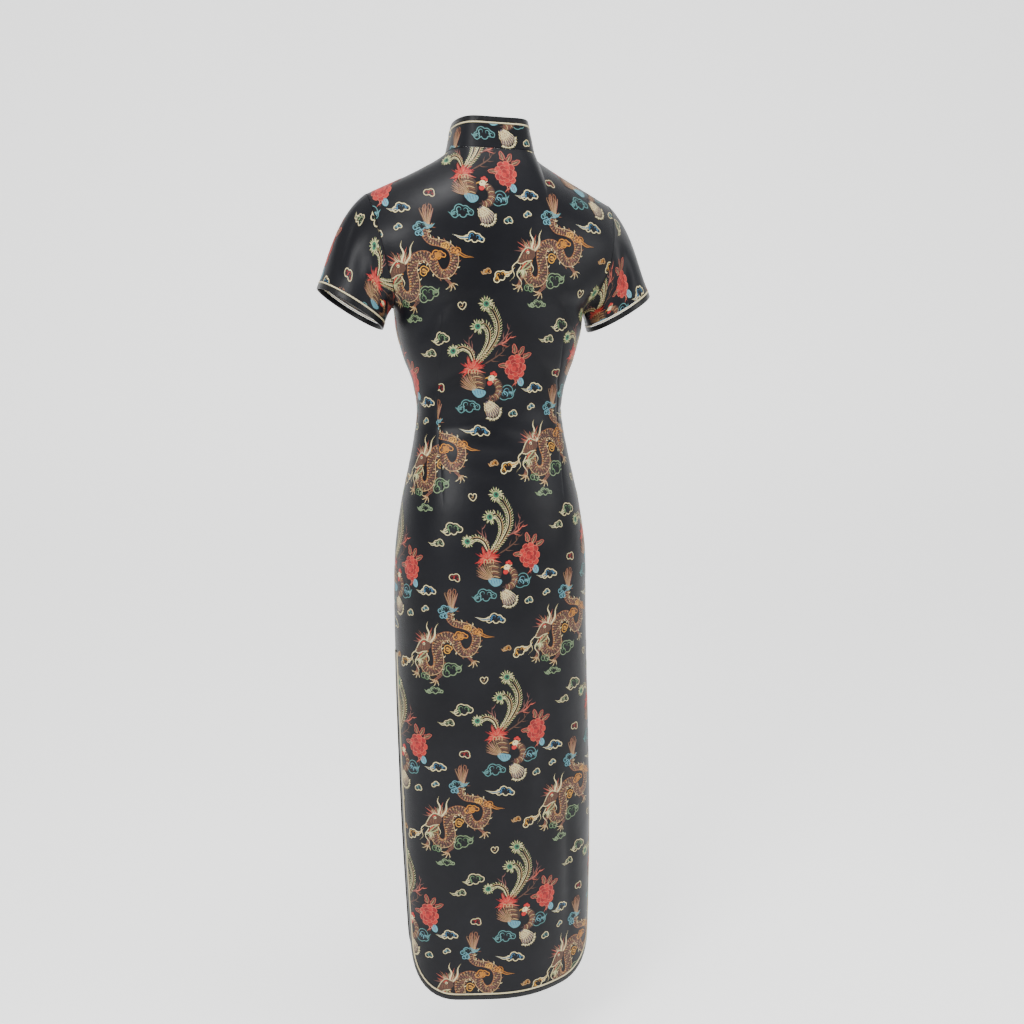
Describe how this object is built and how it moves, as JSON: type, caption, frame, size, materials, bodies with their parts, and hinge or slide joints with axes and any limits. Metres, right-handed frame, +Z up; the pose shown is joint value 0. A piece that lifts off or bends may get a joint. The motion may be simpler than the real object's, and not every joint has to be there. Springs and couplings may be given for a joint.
{
  "type": "cheongsam dress",
  "caption": "Close-fitting long brocade dress with a stand collar, short set-in sleeves, curved side-front closing and side slits, worn and hollow.",
  "frame": {"origin": "Middle of the neck, 15 mm above the back of the neck seam, where the wearer's shoulders and neck carry the dress.", "axes": "+Z up along the wearer's body. The wearer faces -Y, and the wearer's left is +X."},
  "size_m": [0.5206, 0.246, 1.3476],
  "materials": {
    "black_satin": "Near-black navy satin brocade with a soft sheen.",
    "black_binding": "Black satin bias binding.",
    "cream_piping": "Cream satin piping.",
    "black_cord": "Black satin cord."
  },
  "bodies": {
    "root": {"back_panel": "black_satin", "front_panel": "black_satin", "under_front": "black_satin", "sleeve_left": "black_satin", "sleeve_right": "black_satin", "collar": "black_satin", "back_hem_binding": "black_binding", "front_hem_binding": "black_binding", "flap_binding": "black_binding", "sleeve_left_binding": "black_binding", "sleeve_right_binding": "black_binding", "collar_binding": "black_binding", "back_hem_piping": "cream_piping", "front_hem_piping": "cream_piping", "flap_piping": "cream_piping", "sleeve_left_piping": "cream_piping", "sleeve_right_piping": "cream_piping", "collar_piping": "cream_piping", "frog_collar_knot": "black_cord", "frog_collar_loop": "black_cord", "frog_chest_knot": "black_cord", "frog_chest_loop": "black_cord", "frog_side_knot": "black_cord", "frog_side_loop": "black_cord"}
  },
  "joints": []
}
